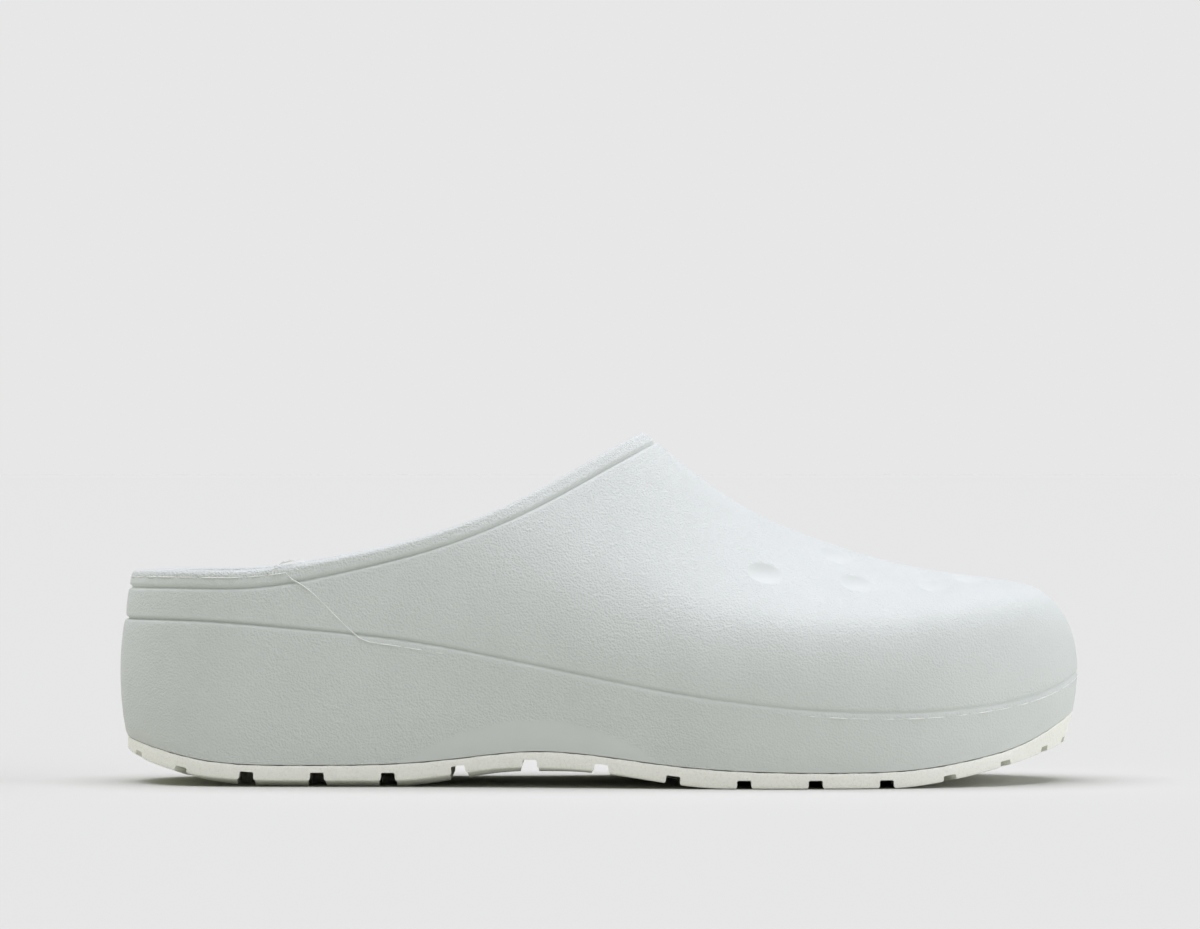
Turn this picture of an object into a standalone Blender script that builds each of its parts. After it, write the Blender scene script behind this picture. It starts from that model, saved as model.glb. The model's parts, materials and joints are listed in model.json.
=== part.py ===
"""Foam clog, right shoe: a body moulded in one (upper and midsole), a rubber outsole and a loose insole.

The tables are in millimetres: X from heel to toe, Y negative on the lateral side, Z up from the floor.
The shoe is then placed with the middle of its underside at the world origin, in metres.
"""

import math
from collections import namedtuple

import bmesh
import bpy
import numpy as np
from mathutils import Matrix, Vector

MM = 0.001


def table(columns, *rows):
    """A table as one array for each named column."""
    return dict(zip(columns.split(), np.array(rows, float).T))


# Resolution
RIBS_PER_SIDE = 36
CAP_STRIPS = 6
OUTLINE_POINTS = 6000
OUTLINE_WRAP = 4
FAN_POINTS = 1500
UPPER_POINTS = 375
LOWER_POINTS = 150
HALVINGS = 50
STEP = 0.4
TINY = 0.001
SHARP_ANGLE = 40.0

# Outline in plan at the moulded groove, from the heel round the lateral side to the toe and back
OUTLINE = table(
    "x y",
    (1.7, 0.0), (6.6, -18.5), (20.0, -32.5), (46.0, -38.5), (95.0, -40.5), (140.0, -46.5),
    (180.0, -53.0), (212.0, -53.5), (243.0, -46.5), (268.0, -31.5), (284.5, -11.5), (290.0, 8.0),
    (285.5, 25.0), (272.0, 40.0), (250.0, 49.5), (220.0, 51.5), (188.0, 48.0), (150.0, 40.5),
    (112.0, 36.0), (78.0, 36.5), (46.0, 38.0), (20.0, 32.0), (6.6, 18.5),
)

# Heights along the side: top of the outsole, moulded groove
SIDE = table(
    "x glue groove",
    (0, 14.6, 49.7), (12, 11.2, 49.8), (26, 8.1, 49.5), (56, 6.6, 47.2), (86, 7.2, 44.0),
    (104, 8.9, 40.9), (124, 10.9, 36.9), (144, 9.8, 32.9), (164, 7.2, 29.2), (192, 5.2, 25.3),
    (216, 4.9, 23.4), (240, 5.8, 23.2), (258, 8.7, 24.6), (270, 11.8, 26.5), (280, 16.0, 29.3),
    (286, 19.1, 31.9), (290, 21.2, 34.3),
)

# Edge of the collar seen from the side
COLLAR = table(
    "x z",
    (0, 64.2), (24, 64.5), (41, 64.7), (57, 66.8), (81, 71.7), (105, 79.1), (128, 89.8), (146, 99.9),
    (158, 106.4), (170, 112.6),
)

# Crest of the upper over each section, how far its top falls towards the sides, and how sharp its shoulder
# is (2 is an ellipse). Behind the throat the crest is the height that the walls would close at if the
# collar were not open.
CREST = table(
    "x z drop shoulder",
    (0, 104.0, 0.28, 2.5), (11, 104.5, 0.28, 4.0), (24, 105.3, 0.29, 8.0), (50, 108.0, 0.32, 9.5),
    (90, 118.0, 0.47, 8.5), (120, 124.0, 0.65, 11.0), (140, 118.8, 0.74, 14.3), (158, 105.9, 0.74, 17.0),
    (176.5, 91.1, 0.69, 18.3), (194.6, 79.9, 0.6, 18.4), (212.8, 72.6, 0.52, 17.0), (231, 66.9, 0.42, 14.6),
    (249, 63.3, 0.3, 11.0), (268, 60.8, 0.18, 7.0), (290, 58.0, 0.12, 2.5),
)

# Top of the midsole inside the shoe, under the insole
FLOOR = table(
    "x z",
    (4, 24.2), (40, 22.6), (80, 21.8), (110, 20.3), (140, 17.6), (170, 14.6), (200, 12.6), (225, 12.4),
    (245, 13.8), (262, 16.9), (275, 20.8), (286, 25.0),
)

# Blind dimples of the vamp on each side: place along the shoe, and share of the way from crest to outline
DIMPLES = table(
    "x reach",
    (194.2, 0.581), (221.7, 0.51), (216.1, 0.233), (245.6, 0.444), (256.8, 0.211),
)

# Moulded body
HEEL_POLE = 46.0
SPINE_BEND = 80.0
SPINE_POWER = 1.3
CREST_ROUND = 0.21
TOE_ROUND_START = 262.0
TOE_FRONT_POWER = 4.3
TOE_TOP_POWER = 1.9
FAN, FAN_POWER = 0.45, 3
RISE_POWER = 3
HEEL_BULGE, SIDE_BULGE, BULGE_BLEND = 1.9, 0.15, 28.0
BULGE_POWER = 0.6
SIDE_TUCK, TOE_TUCK, TOE_TUCK_START = 0.5, 1.5, 264.0
TUCK_POWER = 2
GROOVE_HALF = 1.0
GROOVE_DEPTH = 0.7
RIM_BAND = 5.4
RIM_GROOVE_HALF = 0.8
RIM_GROOVE_DEPTH = 0.7
RIM_WALL = 4.6
RIM_ROUND = 1.8
RIM_ANGLES = (0, 45, 90)
FLOOR_WALL = 6.5
PAD_X, PAD_HALF_LENGTH, PAD_HEIGHT, PAD_POWER = 124.5, 38.5, 9.7, 2.5
PAD_RISE, PAD_EDGE = 0.3, 0.35
DIMPLE_RADIUS = 5.3
DIMPLE_DEPTH = 1.5
DIMPLE_SIDES, DIMPLE_RINGS = 20, 14
LOWER_SHARES = (0.0, 0.12, 0.24, 0.36, 0.52, 0.7, 0.88)
UPPER_SHARES = (0.055, 0.11, 0.155, 0.185, 0.215, 0.25, 0.29, 0.34, 0.41, 0.49, 0.58, 0.7, 0.84)
INNER_SHARES = (0.14, 0.3, 0.46, 0.61, 0.75, 0.88, 1.0)

# Insole
FIT_GAP = 0.3
INSOLE_SIDE_GAP = 0.5
INSOLE_THICKNESS = 4.0
INSOLE_RIM, INSOLE_DISH_POWER = 2.0, 3
INSOLE_EDGE_ROUND = 1.2

# Outsole underside: rises at the heel, the arch and the toe from two flats at floor level
HEEL_RISE, HEEL_RISE_END, HEEL_RISE_POWER = 11.3, 52.0, 2.45
ARCH_RISE, ARCH_START, ARCH_FULL, ARCH_FALL, ARCH_END = 4.7, 82.0, 124.0, 134.0, 182.0
TOE_RISE, TOE_RISE_START, TOE_RISE_END, TOE_RISE_POWER = 12.4, 232.0, 288.0, 1.5
HEEL_EDGE_LIFT, LIFT_FULL, TOE_EDGE_LIFT = 1.9, 46.0, 0.2
OUTSOLE_EDGE_ROUND = 0.5
OUTSOLE_LEAN, LEAN_START = 2.4, 262.0
CONTACT_INSET = 7.0

# Outsole grooves: straight ones across the sole, with a web left in the middle where the sole is on the
# floor, and short notches in from the edge round heel and toe
GROOVE_FIRST_X, GROOVE_PITCH, GROOVE_COUNT = 39.8, 21.1, 10
NOTCH_X = (6.5, 19.9, 248.8, 266.0, 279.8, 287.2)
NOTCH_MOUTH, NOTCH_TOP, GROOVE_CUT, NOTCH_CUT = 5.3, 4.2, 2.4, 1.6
NOTCH_LENGTH, NOTCH_BELOW, NOTCH_BEYOND = 12.0, 5.0, 4.0
THROUGH_RISE, WEB_HALF = 2.0, 8.0

# Colour and roughness of each material
FOAM_LOOK = (0.60, 0.63, 0.60), 0.65
FOOTBED_LOOK = (0.55, 0.58, 0.55), 0.8
RUBBER_LOOK = (0.67, 0.65, 0.57), 0.75

Wall = namedtuple("Wall", "foot normal lines run groove collar")


def spline(x, y):
    """The natural cubic spline through a table's points, level with its end values beyond them."""
    gap = np.diff(x)
    slope = np.diff(y) / gap
    system = np.eye(len(x))
    bend = np.zeros(len(x))
    for i in range(1, len(x) - 1):
        system[i, i - 1:i + 2] = gap[i - 1], 2 * (gap[i - 1] + gap[i]), gap[i]
        bend[i] = 6 * (slope[i] - slope[i - 1])
    curve = np.linalg.solve(system, bend)

    def at(place):
        place = np.clip(place, x[0], x[-1])
        i = np.clip(np.searchsorted(x, place) - 1, 0, len(x) - 2)
        before = (x[i + 1] - place) / gap[i]
        after = (place - x[i]) / gap[i]
        cubic = (before ** 3 - before) * curve[i] + (after ** 3 - after) * curve[i + 1]
        return before * y[i] + after * y[i + 1] + cubic * gap[i] ** 2 / 6

    return at


def distances(points):
    return np.r_[0, np.cumsum(np.linalg.norm(np.diff(points, axis=0), axis=1))]


def closed_curve(x, y):
    """A smooth closed curve through the points of a table, finely sampled."""
    points = np.column_stack([np.r_[c[-OUTLINE_WRAP:], c, c[:OUTLINE_WRAP + 1]] for c in (x, y)])
    run = distances(points)
    at = np.linspace(run[OUTLINE_WRAP], run[OUTLINE_WRAP + len(x)], OUTLINE_POINTS, endpoint=False)
    return np.column_stack([spline(run, c)(at) for c in points.T])


def halves(curve):
    """The lateral and the medial half of a closed curve, each from its rearmost to its foremost point."""
    curve = np.roll(curve, -curve[:, 0].argmin(), axis=0)
    toe = curve[:, 0].argmax()
    return curve[:toe + 1], np.vstack([curve[toe:], curve[:1]])[::-1]


def along(curve, shares):
    """The points at these shares of a curve's length."""
    run = distances(curve)
    return np.column_stack([np.interp(shares * run[-1], run, c) for c in curve.T])


def ease(start, end, x):
    t = np.clip((x - start) / (end - start), 0, 1)
    return t * t * (3 - 2 * t)


LATERAL, MEDIAL = halves(closed_curve(OUTLINE["x"], OUTLINE["y"]))
TOE_X, TOE_Y = LATERAL[-1]
HEEL_ARC = np.vstack([half[half[:, 0] < HEEL_POLE] for half in (LATERAL[::-1], MEDIAL[1:])])
glue_z = spline(SIDE["x"], SIDE["glue"])
groove_z = spline(SIDE["x"], SIDE["groove"])
collar_z = spline(COLLAR["x"], COLLAR["z"])
crest_z = spline(CREST["x"], CREST["z"])
top_drop = spline(CREST["x"], CREST["drop"])
shoulder = spline(CREST["x"], CREST["shoulder"])
floor_z = spline(FLOOR["x"], FLOOR["z"])


def spine_y(x):
    """Where the crest runs in plan: straight from the heel, then over to the tip of the toe."""
    return TOE_Y * np.clip((x - SPINE_BEND) / (TOE_X - SPINE_BEND), 0, 1) ** SPINE_POWER


def reach(x, y):
    """How far out a plan point lies: 0 on the crest, 1 on the outline. Behind the pole it fans out."""
    across = y - spine_y(x)
    halfwidths = [np.abs(half[:, 1] - spine_y(half[:, 0])) for half in (LATERAL, MEDIAL)]
    widths = [np.interp(x, half[:, 0], w) for half, w in zip((LATERAL, MEDIAL), halfwidths)]
    ahead = np.abs(across) / np.maximum(np.where(across < 0, *widths), TINY)
    angles = np.arctan2(HEEL_ARC[:, 1], HEEL_POLE - HEEL_ARC[:, 0])
    radii = np.hypot(HEEL_ARC[:, 1], HEEL_POLE - HEEL_ARC[:, 0])
    behind = np.hypot(y, HEEL_POLE - x) / np.interp(np.arctan2(y, HEEL_POLE - x), angles, radii)
    return np.clip(np.where(x < HEEL_POLE, behind, ahead), 0, 1)


def crown_z(x):
    """Height of the upper over the crest line, rounded down to the groove at the toe."""
    toe = np.clip((x - TOE_ROUND_START) / (TOE_X - TOE_ROUND_START), 0, 1)
    return groove_z(x) + (crest_z(x) - groove_z(x)) * (1 - toe ** TOE_FRONT_POWER) ** (1 / TOE_TOP_POWER)


def dome_z(x, y):
    """Height of the upper's outer face over a plan point."""
    out = reach(x, y)
    fall = (np.hypot(out, CREST_ROUND) - CREST_ROUND) / (math.hypot(1, CREST_ROUND) - CREST_ROUND)
    share = (1 - top_drop(x) * fall) * np.sqrt(1 - out ** shoulder(x))
    return groove_z(x) + (crown_z(x) - groove_z(x)) * share


def split(is_low, low, high):
    """Where a test turns from true to false between two ends, by halving."""
    for _ in range(HALVINGS):
        middle = (low + high) / 2
        below = is_low(middle)
        low = np.where(below, middle, low)
        high = np.where(below, high, middle)
    return (low + high) / 2


THROAT_X = float(split(lambda x: collar_z(x) < crown_z(x), COLLAR["x"][-3], COLLAR["x"][-1]))


def collar_edge(half):
    """The collar's edge on one side in plan, from the heel to the throat."""
    outer = half[half[:, 0] < THROAT_X]
    centre_x = np.maximum(outer[:, 0], HEEL_POLE)
    centre = np.column_stack([centre_x, spine_y(centre_x)])

    def place(share):
        return centre + (outer - centre) * share[:, None]

    def is_open(share):
        point = place(share).T
        return dome_z(*point) > collar_z(point[0])

    edge = place(split(is_open, np.zeros(len(outer)), np.ones(len(outer))))
    return np.vstack([edge, [THROAT_X, spine_y(THROAT_X)]])


def both_sides(lateral, medial):
    """One ring from two halves: heel, lateral side, toe, medial side."""
    return np.vstack([lateral, medial[-2:0:-1]])


def outward(ring):
    """The plan normals of a ring."""
    way = np.roll(ring, -1, axis=0) - np.roll(ring, 1, axis=0)
    return np.column_stack([way[:, 1], -way[:, 0]]) / np.linalg.norm(way, axis=1)[:, None]


def make_wall(ribs_per_side):
    """The outer face as ribs, each a fine line from the outsole up over the groove to the collar's edge."""
    shares = np.linspace(0, 1, ribs_per_side + 1)
    even = np.linspace(0, 1, FAN_POINTS)
    edge_shares = np.interp(shares, (1 - FAN) * even + FAN * even ** FAN_POWER, even)
    foot = both_sides(along(LATERAL, shares), along(MEDIAL, shares))
    edge = both_sides(*(along(collar_edge(half), edge_shares) for half in (LATERAL, MEDIAL)))
    normal = outward(foot)
    x = foot[:, 0]

    rise = np.linspace(0, 1, UPPER_POINTS)[:, None, None] ** RISE_POWER
    plan = foot + (edge - foot) * rise
    height = dome_z(plan[..., 0], plan[..., 1])
    height[0] = groove_z(x)
    upper = np.dstack([plan, height])

    down = np.linspace(1, 0, LOWER_POINTS)[:, None]
    fullness = SIDE_BULGE * (1 - x / TOE_X) + (HEEL_BULGE - SIDE_BULGE) * (1 - ease(0, BULGE_BLEND, x))
    bulge = fullness * np.sin(math.pi * down).clip(0) ** BULGE_POWER
    tuck = (SIDE_TUCK + (TOE_TUCK - SIDE_TUCK) * ease(TOE_TUCK_START, TOE_X, x)) * down ** TUCK_POWER
    plan = foot + normal * (bulge - tuck)[..., None]
    lower = np.dstack([plan, glue_z(x) * down + groove_z(x) * (1 - down)])

    lines = np.concatenate([lower, upper[1:]])
    run = np.array([distances(line) for line in lines.transpose(1, 0, 2)])
    return Wall(foot, normal, lines.transpose(1, 0, 2), run, run[:, len(lower) - 1], run[:, -1])


def on_wall(wall, run, inset=0.0):
    """A ring of points at these distances up the ribs, set in from the outer face."""
    def at(places):
        rows = zip(places, wall.run, wall.lines)
        return np.array([[np.interp(place, line_run, c) for c in line.T] for place, line_run, line in rows])

    base = at(run)
    upward = at(run + STEP) - at(run - STEP)
    normal = np.cross(np.roll(base, -1, axis=0) - np.roll(base, 1, axis=0), upward)
    normal /= np.linalg.norm(normal, axis=1)[:, None]
    return base - normal * np.broadcast_to(inset, len(base))[:, None]


def pad(wall, share):
    """How proud the smooth pad over the arch stands, at a share of the way up from outsole to groove."""
    x = wall.foot[:, 0]
    length = 1 - np.clip(np.abs(x - PAD_X) / PAD_HALF_LENGTH, 0, 1) ** PAD_POWER
    height = share * (groove_z(x) - glue_z(x))
    inside = 1 - height / np.maximum(PAD_HEIGHT * length, TINY)
    return PAD_RISE * length * ease(0, PAD_EDGE, inside)


def floor_run(wall, above):
    """Distance up each rib to a height above the floor inside the shoe."""
    level = floor_z(wall.foot[:, 0] - FLOOR_WALL * wall.normal[:, 0]) + above
    rows = zip(level, wall.lines, wall.run)
    return np.array([np.interp(z, line[:, 2], run) for z, line, run in rows])


def floor_ring(wall, above, inset):
    """A ring along the inside of the wall, level with a height above the floor."""
    ring = on_wall(wall, floor_run(wall, above), inset)
    ring[:, 2] = floor_z(ring[:, 0]) + above
    return ring


def body_rings(wall):
    """Rings from the outsole up the outside, over the rim and down the inside to the floor."""
    groove, collar = wall.groove, wall.collar
    rings = [on_wall(wall, groove * share, -pad(wall, share)) for share in LOWER_SHARES]
    rings.append(on_wall(wall, groove - GROOVE_HALF))
    rings.append(on_wall(wall, groove, GROOVE_DEPTH))
    rings.append(on_wall(wall, groove + GROOVE_HALF))
    low = groove + GROOVE_HALF
    band = collar - RIM_BAND
    for share in UPPER_SHARES:
        rings.append(on_wall(wall, low + (band - RIM_GROOVE_HALF - low) * share))
    rings.append(on_wall(wall, band - RIM_GROOVE_HALF))
    rings.append(on_wall(wall, band, RIM_GROOVE_DEPTH))
    rings.append(on_wall(wall, band + RIM_GROOVE_HALF))
    corner = [RIM_ROUND * (1 - np.array([math.sin(a), math.cos(a)])) for a in np.radians(RIM_ANGLES)]
    rings.extend(on_wall(wall, collar - below, inset) for below, inset in corner)
    rings.extend(on_wall(wall, collar - below, RIM_WALL - inset) for below, inset in corner[::-1])
    top = collar - RIM_ROUND
    low = floor_run(wall, INSOLE_THICKNESS + INSOLE_RIM + FIT_GAP)
    for share in INNER_SHARES:
        rings.append(on_wall(wall, top + (low - top) * share, RIM_WALL + (FLOOR_WALL - RIM_WALL) * share))
    rings.append(floor_ring(wall, 0, FLOOR_WALL))
    return rings


def insole_rings(wall):
    """Rings from the insole's underside up its edge to its top."""
    set_in = FLOOR_WALL + INSOLE_SIDE_GAP
    edge = INSOLE_THICKNESS + INSOLE_RIM
    return [
        floor_ring(wall, FIT_GAP, set_in),
        floor_ring(wall, edge - INSOLE_EDGE_ROUND, set_in),
        floor_ring(wall, edge, set_in + INSOLE_EDGE_ROUND),
    ]


def insole_top_z(x, share):
    """Height of the dished footbed at a share of the way across it."""
    return floor_z(x) + INSOLE_THICKNESS + INSOLE_RIM * np.abs(2 * share - 1) ** INSOLE_DISH_POWER


def tread_z(x):
    """Height of the outsole's underside."""
    heel = HEEL_RISE * np.clip(1 - x / HEEL_RISE_END, 0, 1) ** HEEL_RISE_POWER
    arch = ARCH_RISE * (ease(ARCH_START, ARCH_FULL, x) - ease(ARCH_FALL, ARCH_END, x))
    toe = np.clip((x - TOE_RISE_START) / (TOE_RISE_END - TOE_RISE_START), 0, None) ** TOE_RISE_POWER
    return heel + arch + TOE_RISE * toe


def tread_edge_z(x):
    """Height of the underside at its bevelled edge."""
    heel = HEEL_EDGE_LIFT * (ease(0, LIFT_FULL, x) - ease(ARCH_START, ARCH_END, x))
    return tread_z(x) + heel + TOE_EDGE_LIFT * ease(ARCH_START, ARCH_END, x)


def outsole_rings(seat):
    """Rings from the top of the outsole, which follows the underside of the body, down to the underside."""
    plan = seat[:, :2]
    normal = outward(plan)
    lean = OUTSOLE_LEAN * ease(LEAN_START, TOE_X, plan[:, 0])

    def ring(inset, height):
        flat = plan - normal * (lean + inset)[:, None]
        return np.column_stack([flat, height(flat[:, 0])])

    return [
        seat - [0, 0, FIT_GAP],
        ring(0, lambda x: tread_edge_z(x) + OUTSOLE_EDGE_ROUND),
        ring(OUTSOLE_EDGE_ROUND, tread_edge_z),
        ring(CONTACT_INSET, tread_z),
    ]


def cap(ring, first, count, height):
    """Points and faces that close a ring with rows from its lateral to its medial half."""
    half = len(ring) // 2
    shares = np.linspace(0, 1, CAP_STRIPS + 1)
    points = []
    rows = []
    for k in range(1, half):
        row = ring[k] + (ring[-k] - ring[k]) * shares[1:-1, None]
        if height:
            row[:, 2] = height(row[:, 0], shares[1:-1])
        inner = range(count + len(points), count + len(points) + len(row))
        rows.append([first + k, *inner, first + len(ring) - k])
        points.extend(row)
    faces = [(first, a, b) for a, b in zip(rows[0], rows[0][1:])]
    for row, after in zip(rows, rows[1:]):
        faces.extend(zip(row, after, after[1:], row[1:]))
    faces.extend((first + half, b, a) for a, b in zip(rows[-1], rows[-1][1:]))
    return points, faces


def skin(rings, first_height=None, last_height=None):
    """Points and faces of a closed body: rings joined in order, with a cap over the first and the last."""
    points = [point for ring in rings for point in ring]
    size = len(rings[0])
    faces = []
    for start in range(0, size * (len(rings) - 1), size):
        for k in range(size):
            after = (k + 1) % size
            faces.append((start + k, start + after, start + size + after, start + size + k))
    for index, height in ((0, first_height), (len(rings) - 1, last_height)):
        more_points, more_faces = cap(rings[index], index * size, len(points), height)
        points.extend(more_points)
        faces.extend(more_faces)
    return np.array(points), faces


def material(name, colour, roughness):
    made = bpy.data.materials.new(name)
    made.use_nodes = True
    shader = made.node_tree.nodes["Principled BSDF"]
    shader.inputs["Base Color"].default_value = (*colour, 1.0)
    shader.inputs["Roughness"].default_value = roughness
    shader.inputs["Metallic"].default_value = 0.0
    return made


def add_object(name, collection, origin, mesh):
    made = bpy.data.objects.new(name, mesh)
    made.parent = origin
    collection.objects.link(made)
    return made


def add_part(name, collection, origin, body, surface):
    """A named part from points and faces, shaded smooth with its edges kept."""
    points, faces = body
    mesh = bpy.data.meshes.new(name)
    mesh.from_pydata((points * MM).tolist(), [], faces)
    work = bmesh.new()
    work.from_mesh(mesh)
    bmesh.ops.recalc_face_normals(work, faces=work.faces)
    work.to_mesh(mesh)
    work.free()
    mesh.shade_smooth()
    mesh.set_sharp_from_angle(angle=math.radians(SHARP_ANGLE))
    mesh.materials.append(surface)
    return add_object(name, collection, origin, mesh)


def add_cutter(name, collection, origin, work):
    """A cutter from a finished bmesh, which is not rendered."""
    mesh = bpy.data.meshes.new(name)
    work.to_mesh(mesh)
    work.free()
    made = add_object(name, collection, origin, mesh)
    made.hide_render = True
    made.display_type = "WIRE"


def cut(part, cutters):
    modifier = part.modifiers.new("cut", "BOOLEAN")
    modifier.operation = "DIFFERENCE"
    modifier.solver = "EXACT"
    modifier.operand_type = "COLLECTION"
    modifier.collection = cutters


def groove_cutter(start, end, depth):
    """A tapered bar along the sole's underside from one point to another, its top a depth above them."""
    middle = (start + end) / 2
    way = (end - start).normalized()
    slope = float(tread_z(middle.x + STEP) - tread_z(middle.x - STEP)) / (2 * STEP)
    upward = Vector((-slope, 0, 1))
    upward = (upward - way * upward.dot(way)).normalized()
    turn = Matrix((way, upward.cross(way), upward)).transposed().to_4x4()
    height = depth + NOTCH_BELOW
    flare = (NOTCH_MOUTH - NOTCH_TOP) / GROOVE_CUT
    work = bmesh.new()
    bmesh.ops.create_cube(work, size=1.0)
    for vertex in work.verts:
        width = NOTCH_TOP if vertex.co.z > 0 else NOTCH_TOP + flare * height
        vertex.co *= Vector(((end - start).length, width, height))
    place = Matrix.Translation(middle + upward * (depth - NOTCH_BELOW) / 2)
    bmesh.ops.transform(work, matrix=Matrix.Scale(MM, 4) @ place @ turn, verts=work.verts)
    return work


def groove_spans(low, high, through):
    """Name and ends of each length of a groove across the sole."""
    if through:
        return [("through", low, high)]
    return [("lateral", low, -WEB_HALF), ("medial", WEB_HALF, high)]


def add_tread_cutters(collection, origin, seat):
    """Straight grooves across the sole, and notches in from its edge round heel and toe."""
    plan = seat[:, :2]
    for number in range(GROOVE_COUNT):
        x = GROOVE_FIRST_X + GROOVE_PITCH * number
        low, high = plan[:, 1].min() - NOTCH_BEYOND, plan[:, 1].max() + NOTCH_BEYOND
        through = tread_z(x) > THROUGH_RISE
        for name, *ends in groove_spans(low, high, through):
            start, end = (Vector((x, y, tread_edge_z(x))) for y in ends)
            add_cutter(f"{name}_groove_{number}", collection, origin, groove_cutter(start, end, GROOVE_CUT))
    for side, half in zip(("lateral", "medial"), halves(plan)):
        for number, x in enumerate(NOTCH_X):
            edge = np.array([x, np.interp(x, half[:, 0], half[:, 1])])
            normal = outward(plan)[np.linalg.norm(plan - edge, axis=1).argmin()]
            inner = edge - normal * NOTCH_LENGTH
            end = Vector((*inner, tread_edge_z(inner[0])))
            mouth = Vector((*edge, tread_edge_z(x)))
            start = mouth + (mouth - end).normalized() * NOTCH_BEYOND
            add_cutter(f"{side}_notch_{number}", collection, origin, groove_cutter(start, end, NOTCH_CUT))


def add_dimple_cutters(collection, origin):
    """Balls that each leave a shallow round dimple in the vamp."""
    radius = (DIMPLE_RADIUS ** 2 + DIMPLE_DEPTH ** 2) / (2 * DIMPLE_DEPTH)
    for side, half in (("lateral", LATERAL), ("medial", MEDIAL)):
        for number, (x, share) in enumerate(zip(DIMPLES["x"], DIMPLES["reach"])):
            y = spine_y(x) + share * (np.interp(x, half[:, 0], half[:, 1]) - spine_y(x))
            slope_x = (dome_z(x + STEP, y) - dome_z(x - STEP, y)) / (2 * STEP)
            slope_y = (dome_z(x, y + STEP) - dome_z(x, y - STEP)) / (2 * STEP)
            normal = Vector((-slope_x, -slope_y, 1)).normalized()
            place = Matrix.Translation(Vector((x, y, dome_z(x, y))) + normal * (radius - DIMPLE_DEPTH))
            turn = normal.to_track_quat("Z", "Y").to_matrix().to_4x4()
            work = bmesh.new()
            bmesh.ops.create_uvsphere(work, u_segments=DIMPLE_SIDES, v_segments=DIMPLE_RINGS, radius=radius)
            bmesh.ops.transform(work, matrix=Matrix.Scale(MM, 4) @ place @ turn, verts=work.verts)
            add_cutter(f"{side}_dimple_{number}", collection, origin, work)


def add_collection(name, parent):
    made = bpy.data.collections.new(name)
    parent.children.link(made)
    return made


def main():
    for old in list(bpy.data.objects):
        bpy.data.objects.remove(old)
    scene = bpy.context.scene
    scene.unit_settings.system = "METRIC"
    parts = add_collection("foam_clog", scene.collection)
    cutters = add_collection("cutters", scene.collection)
    tread_cutters = add_collection("tread_cutters", cutters)
    dimple_cutters = add_collection("dimple_cutters", cutters)

    wall = make_wall(RIBS_PER_SIDE)
    body = skin(body_rings(wall), None, lambda x, share: floor_z(x))
    seat = body[0][:len(wall.foot)]
    outsole = skin(outsole_rings(seat), None, lambda x, share: tread_z(x))
    insole = skin(insole_rings(wall), lambda x, share: floor_z(x) + FIT_GAP, insole_top_z)

    low, high = body[0].min(axis=0), body[0].max(axis=0)
    origin = bpy.data.objects.new("under_middle", None)
    origin.location = Vector((-(low[0] + high[0]) / 2, -(low[1] + high[1]) / 2, 0)) * MM
    parts.objects.link(origin)
    body_part = add_part("upper_and_midsole", parts, origin, body, material("foam", *FOAM_LOOK))
    add_part("insole", parts, origin, insole, material("footbed_foam", *FOOTBED_LOOK))
    outsole_part = add_part("outsole", parts, origin, outsole, material("rubber", *RUBBER_LOOK))
    add_tread_cutters(tread_cutters, origin, seat)
    add_dimple_cutters(dimple_cutters, origin)
    cut(outsole_part, tread_cutters)
    cut(body_part, dimple_cutters)


main()
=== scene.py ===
"""Looks of the foam clog: the moulded body, its mould flash, the rubber outsole and the footbed.

Sizes are in millimetres in the shoe's own frame, as in the part's source: X from heel to toe, Y negative
on the lateral side, Z up from the floor. PLACE moves them to the row frame.
"""

import json
import math
from collections import namedtuple

import bmesh
import bpy
import numpy as np
from mathutils import Matrix, Vector

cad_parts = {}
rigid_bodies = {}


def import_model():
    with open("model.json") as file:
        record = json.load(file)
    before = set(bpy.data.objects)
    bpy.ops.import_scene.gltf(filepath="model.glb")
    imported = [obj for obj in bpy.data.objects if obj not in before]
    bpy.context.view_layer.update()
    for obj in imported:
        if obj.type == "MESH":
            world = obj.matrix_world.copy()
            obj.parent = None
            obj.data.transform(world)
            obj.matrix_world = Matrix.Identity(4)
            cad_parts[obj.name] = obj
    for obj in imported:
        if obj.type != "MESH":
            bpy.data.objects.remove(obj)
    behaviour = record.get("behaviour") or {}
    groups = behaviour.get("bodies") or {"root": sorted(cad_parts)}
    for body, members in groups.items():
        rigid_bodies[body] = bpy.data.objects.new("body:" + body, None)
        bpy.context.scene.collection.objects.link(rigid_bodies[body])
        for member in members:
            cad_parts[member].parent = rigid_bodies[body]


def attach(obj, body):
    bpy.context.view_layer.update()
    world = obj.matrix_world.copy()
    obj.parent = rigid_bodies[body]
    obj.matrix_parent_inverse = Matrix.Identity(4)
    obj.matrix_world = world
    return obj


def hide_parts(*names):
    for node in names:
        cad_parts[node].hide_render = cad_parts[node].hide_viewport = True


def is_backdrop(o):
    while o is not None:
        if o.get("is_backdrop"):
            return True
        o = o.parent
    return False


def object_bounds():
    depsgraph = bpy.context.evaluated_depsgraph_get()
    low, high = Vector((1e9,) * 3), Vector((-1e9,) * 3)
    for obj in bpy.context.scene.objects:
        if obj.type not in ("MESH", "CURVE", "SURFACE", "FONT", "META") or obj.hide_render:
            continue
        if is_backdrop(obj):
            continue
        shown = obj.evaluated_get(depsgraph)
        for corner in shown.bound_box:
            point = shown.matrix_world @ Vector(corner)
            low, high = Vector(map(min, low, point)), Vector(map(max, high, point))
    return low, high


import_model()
CAD_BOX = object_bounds()

MM = 0.001
PLACE = np.array([-144.9641, 1.1787, 0.0])


def table(columns, *rows):
    """A table as one array for each named column."""
    return dict(zip(columns.split(), np.array(rows, float).T))


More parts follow.
